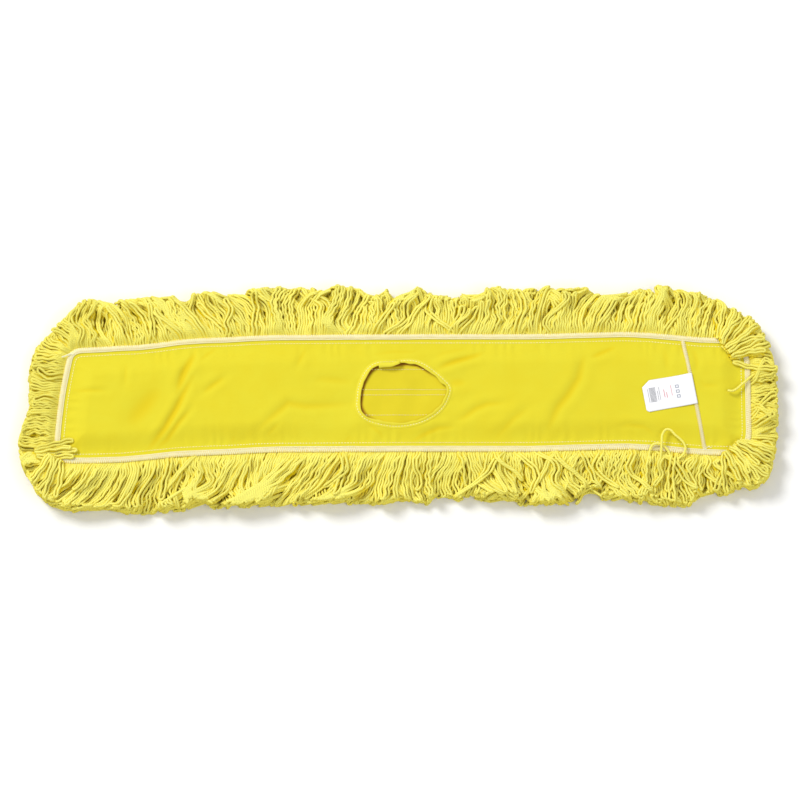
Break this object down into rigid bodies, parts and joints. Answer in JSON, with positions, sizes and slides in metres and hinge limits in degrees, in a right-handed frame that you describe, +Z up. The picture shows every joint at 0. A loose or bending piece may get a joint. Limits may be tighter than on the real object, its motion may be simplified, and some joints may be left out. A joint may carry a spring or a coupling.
{
  "type": "dust mop head",
  "caption": "Looped-yarn dust mop head: a flat cloth pocket with an oval mouth for the mop frame, a yarn fringe all round and a looped-yarn sole.",
  "frame": {"origin": "under the middle of the head's outer box, on the surface that the yarn lies on", "axes": "+X along the head, to the end with the panel seam; +Y across it; +Z up, out of the pocket's mouth"},
  "size_m": [1.0267, 0.326, 0.0396],
  "materials": {
    "yarn": "matt plied cotton-blend yarn",
    "cover_cloth": "smooth fine twill with a slight sheen",
    "backing_cloth": "plain woven cloth",
    "tape": "folded bias tape",
    "thread": "cream overlock and lockstitch thread",
    "label": "white satin label"
  },
  "bodies": {
    "head": {"sole_row_1": "yarn", "sole_row_2": "yarn", "sole_row_3": "yarn", "sole_row_4": "yarn", "sole_row_5": "yarn", "fringe_back": "yarn", "fringe_back_right": "yarn", "fringe_right": "yarn", "fringe_front_right": "yarn", "fringe_front": "yarn", "fringe_front_left": "yarn", "fringe_left": "yarn", "fringe_back_left": "yarn", "stray_loop": "yarn", "stray_loop_small": "yarn", "stray_tail": "yarn", "base_backing": "backing_cloth", "cover_panel": "cover_cloth", "end_panel": "cover_cloth", "opening_binding": "tape", "binding_overlap": "tape", "opening_stitching": "thread", "serging_back": "thread", "serging_right": "thread", "serging_front": "thread", "serging_left": "thread", "panel_seam_serging": "thread", "lockstitch_cover": "thread", "lockstitch_end": "thread", "seam_centre_back": "thread", "seam_centre_front": "thread", "seam_back": "thread", "seam_front": "thread"},
    "label": {"care_label": "label"}
  },
  "joints": [
    {"name": "label_flip", "type": "hinge", "parent": "head", "child": "label", "pos_m": [0.3984, 0.0114, 0.0361], "axis": [-0.1771, 0.9842, 0], "range_deg": [0, 165]}
  ]
}
